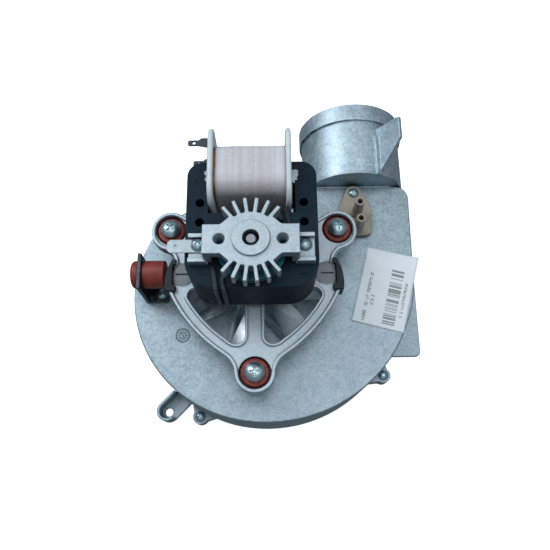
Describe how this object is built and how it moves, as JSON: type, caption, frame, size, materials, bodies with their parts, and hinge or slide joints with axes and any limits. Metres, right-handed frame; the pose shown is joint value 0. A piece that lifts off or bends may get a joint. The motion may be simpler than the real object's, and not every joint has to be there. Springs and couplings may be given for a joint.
{
  "type": "flue gas blower with shaded-pole motor",
  "caption": "Boiler flue fan: cast scroll casing with a round side outlet, a centrifugal wheel inside, and a shaded-pole motor on a rubber-mounted three-armed bracket.",
  "frame": {"origin": "on the shaft axis, in the plane of the rear casting's mounting face, at the middle of the fume inlet", "axes": "+Z along the shaft from the mounting face towards the motor's front; +Y out of the outlet spigot; +X towards the spigot's side"},
  "size_m": [0.1684, 0.1811, 0.1197],
  "materials": {
    "bare_laminations": "bare laminated steel",
    "beige_plastic": "moulded",
    "black_laminations": "black stoved varnish",
    "black_rubber": "moulded",
    "bracket_aluminium": "as cast, fine",
    "cast_aluminium": "as cast, spangled",
    "coil_tape": "wound tape",
    "enamelled_copper": "enamelled wire",
    "end_ring_varnish": "teal varnish",
    "fan_sheet": "bright rolled",
    "galvanised_sheet": "galvanised",
    "hub_brass": "turned",
    "label_paper": "satin print",
    "oil_felt": "felt",
    "red_silicone": "satin silicone",
    "rivet_aluminium": "drawn",
    "rotor_steel": "ground laminations",
    "seal_plastic": "machined",
    "seal_rubber": "moulded",
    "shading_copper": "copper under dark varnish",
    "shaft_steel": "ground",
    "sintered_bronze": "sintered, oiled",
    "spring_steel": "blued",
    "tinned_brass": "tinned",
    "washer_plastic": "moulded",
    "wheel_sheet": "rolled",
    "white_nylon": "moulded",
    "zinc_steel": "zinc plated, blue passivated"
  },
  "bodies": {
    "frame": {"front_casing": "cast_aluminium", "rear_casing": "cast_aluminium", "casing_seal": "seal_rubber", "casing_screws": "zinc_steel", "inlet_ring": "galvanised_sheet", "inlet_rivets": "rivet_aluminium", "shaft_seal": "seal_plastic", "motor_bracket": "bracket_aluminium", "grommet_left": "red_silicone", "grommet_right": "red_silicone", "grommet_bottom": "red_silicone", "grommet_sleeves": "zinc_steel", "bracket_screws": "zinc_steel", "side_buffer_left": "black_rubber", "side_buffer_right": "black_rubber", "stator_core": "black_laminations", "coil_core": "bare_laminations", "bobbin": "white_nylon", "coil_winding": "enamelled_copper", "coil_tape": "coil_tape", "coil_terminal_front": "tinned_brass", "coil_terminal_rear": "tinned_brass", "shading_rings": "shading_copper", "front_bracket": "bracket_aluminium", "front_bearing": "sintered_bronze", "rear_bearing": "sintered_bronze", "front_felt": "oil_felt", "rear_felt": "oil_felt", "front_clip": "spring_steel", "rear_clip": "spring_steel", "motor_screws": "zinc_steel", "earth_tab": "tinned_brass", "pressure_tap": "beige_plastic", "tap_gasket": "seal_rubber", "tap_screw": "zinc_steel", "side_bracket": "galvanised_sheet", "side_bush": "red_silicone", "side_screw": "zinc_steel", "rating_label": "label_paper"},
    "rotor": {"rotor_shaft": "shaft_steel", "impeller_wheel": "wheel_sheet", "impeller_shroud": "wheel_sheet", "impeller_hub": "hub_brass", "impeller_nut": "zinc_steel", "impeller_washer": "zinc_steel", "cooling_fan": "fan_sheet", "rotor_core": "rotor_steel", "rotor_end_rings": "end_ring_varnish", "shaft_washers": "washer_plastic"}
  },
  "joints": [
    {"name": "wheel_spin", "type": "hinge", "parent": "frame", "child": "rotor", "pos_m": [0, 0, 0.07], "axis": [0, 0, 1], "continuous": true}
  ]
}
